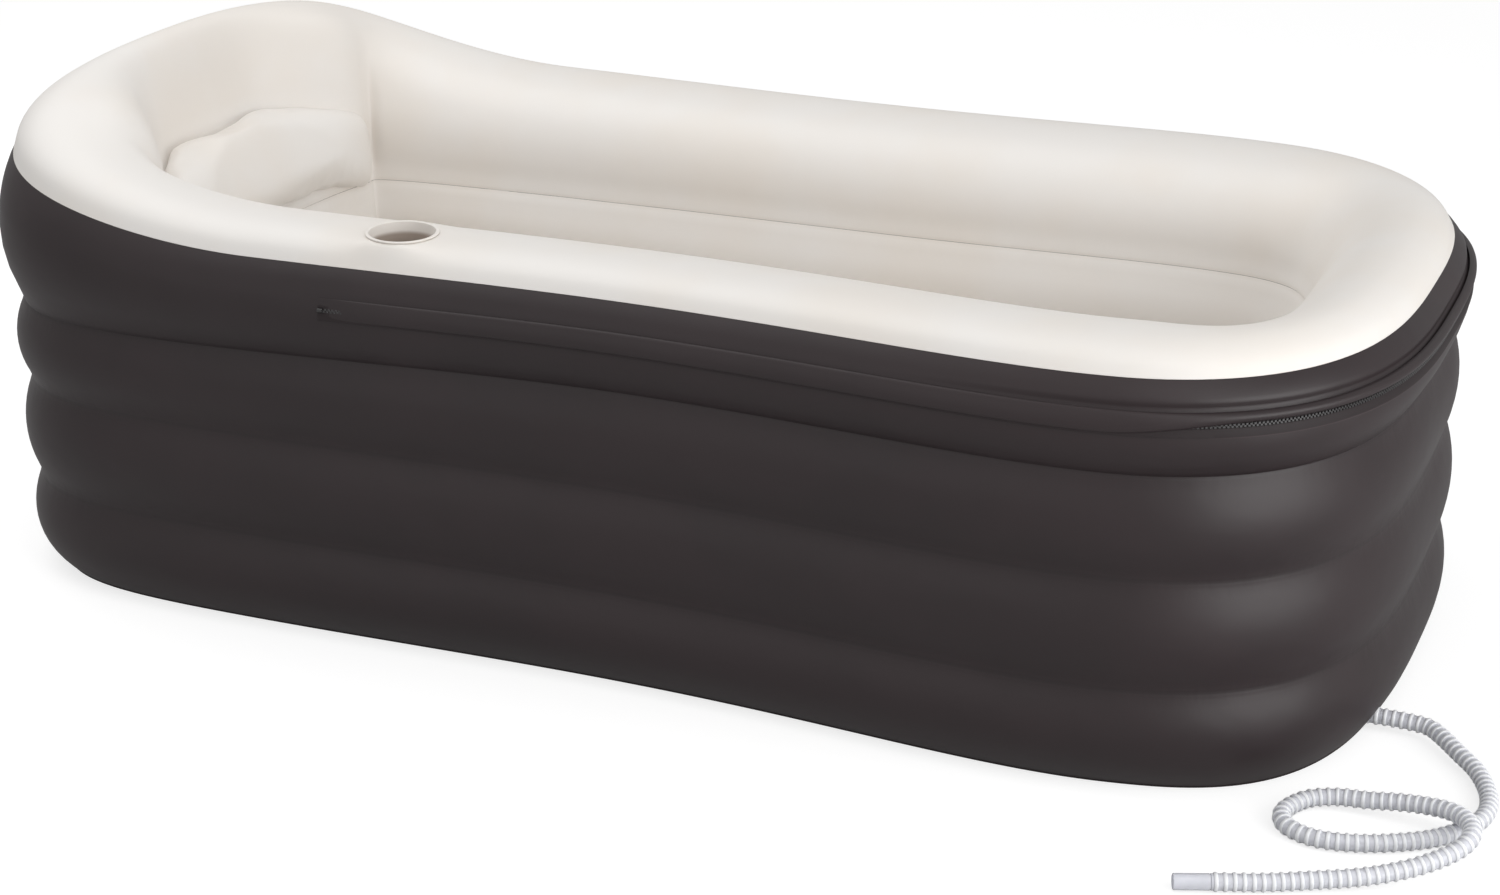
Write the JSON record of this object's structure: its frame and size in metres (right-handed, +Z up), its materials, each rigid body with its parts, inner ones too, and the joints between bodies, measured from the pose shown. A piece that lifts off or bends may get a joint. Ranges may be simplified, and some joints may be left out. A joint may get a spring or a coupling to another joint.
{
  "type": "inflatable bathtub",
  "caption": "Free-standing inflatable bathtub with stacked air chambers, raised head end, backrest and floor cushions, cup holder, cover zip, valves and a ribbed drain hose.",
  "frame": {"origin": "on the floor under the middle of the tub, without its loose hose", "axes": "+X along the tub from the head end to the foot end, +Y from the cup holder side to the inflation valve side, +Z up"},
  "size_m": [1.8009, 1.0093, 0.569],
  "materials": {
    "dark_vinyl": "satin welded vinyl, charcoal",
    "cream_vinyl": "satin welded vinyl, cream",
    "white_plastic": "smooth moulded",
    "dark_plastic": "satin moulded",
    "zip_fabric": "woven tape",
    "clear_hose": "clear with white ribs",
    "soft_rubber": "soft matt"
  },
  "bodies": {
    "tub": {"outer_wall_skin": "dark_vinyl", "rim_skin": "cream_vinyl", "inner_wall_skin": "cream_vinyl", "base_sheet": "dark_vinyl", "wall_web_lower": "cream_vinyl", "wall_web_middle": "cream_vinyl", "wall_web_upper": "cream_vinyl", "floor_cushion": "cream_vinyl", "backrest_cushion": "cream_vinyl", "cup_holder": "cream_vinyl", "zip_tape_lower": "zip_fabric", "zip_tape_upper": "zip_fabric", "zip_teeth": "dark_plastic", "zip_stop_near": "dark_plastic", "zip_stop_far": "dark_plastic", "zip_welt": "dark_vinyl", "wall_valve_body": "dark_plastic", "floor_valve_body": "white_plastic", "backrest_valve_body": "white_plastic", "drain_inlet": "white_plastic", "drain_tube": "cream_vinyl", "drain_outlet": "clear_hose", "drain_hose": "clear_hose", "hose_end_cuff": "clear_hose"},
    "zip_slider": {"zip_slider": "dark_plastic"},
    "zip_pull": {"zip_pull": "dark_plastic"},
    "wall_valve_cap": {"wall_valve_cap": "dark_plastic"},
    "wall_valve_flap": {"wall_valve_flap": "soft_rubber"},
    "floor_valve_stopper": {"floor_valve_stopper": "white_plastic"},
    "backrest_valve_stopper": {"backrest_valve_stopper": "white_plastic"},
    "drain_plug": {"drain_plug": "white_plastic"}
  },
  "joints": [
    {"name": "zip_slider_run", "type": "slide", "parent": "tub", "child": "zip_slider", "axis": [0.9988, -0.0462, 0.0174], "range_m": [-0.065, 0.044]},
    {"name": "zip_pull_swing", "type": "hinge", "parent": "zip_slider", "child": "zip_pull", "pos_m": [-0.21393, 0.42529, 0.40602], "axis": [-0.0266, -0.2058, 0.9782], "range_deg": [0, 170]},
    {"name": "wall_valve_cap_turn", "type": "hinge", "parent": "tub", "child": "wall_valve_cap", "pos_m": [-0.52063, 0.42398, 0.28608], "axis": [-0.0397, 0.9992, 0], "continuous": true},
    {"name": "wall_valve_flap_lift", "type": "slide", "parent": "tub", "child": "wall_valve_flap", "axis": [0.0397, -0.9992, 0], "range_m": [0, 0.004], "stiffness_N_per_m": 20},
    {"name": "floor_valve_stopper_pull", "type": "slide", "parent": "tub", "child": "floor_valve_stopper", "axis": [0, 0, 1], "range_m": [0, 0.012]},
    {"name": "backrest_valve_stopper_pull", "type": "slide", "parent": "tub", "child": "backrest_valve_stopper", "axis": [0.9474, 0.266, 0.1779], "range_m": [0, 0.012]},
    {"name": "drain_plug_pull", "type": "slide", "parent": "tub", "child": "drain_plug", "axis": [-1, 0, 0], "range_m": [0, 0.025]}
  ]
}
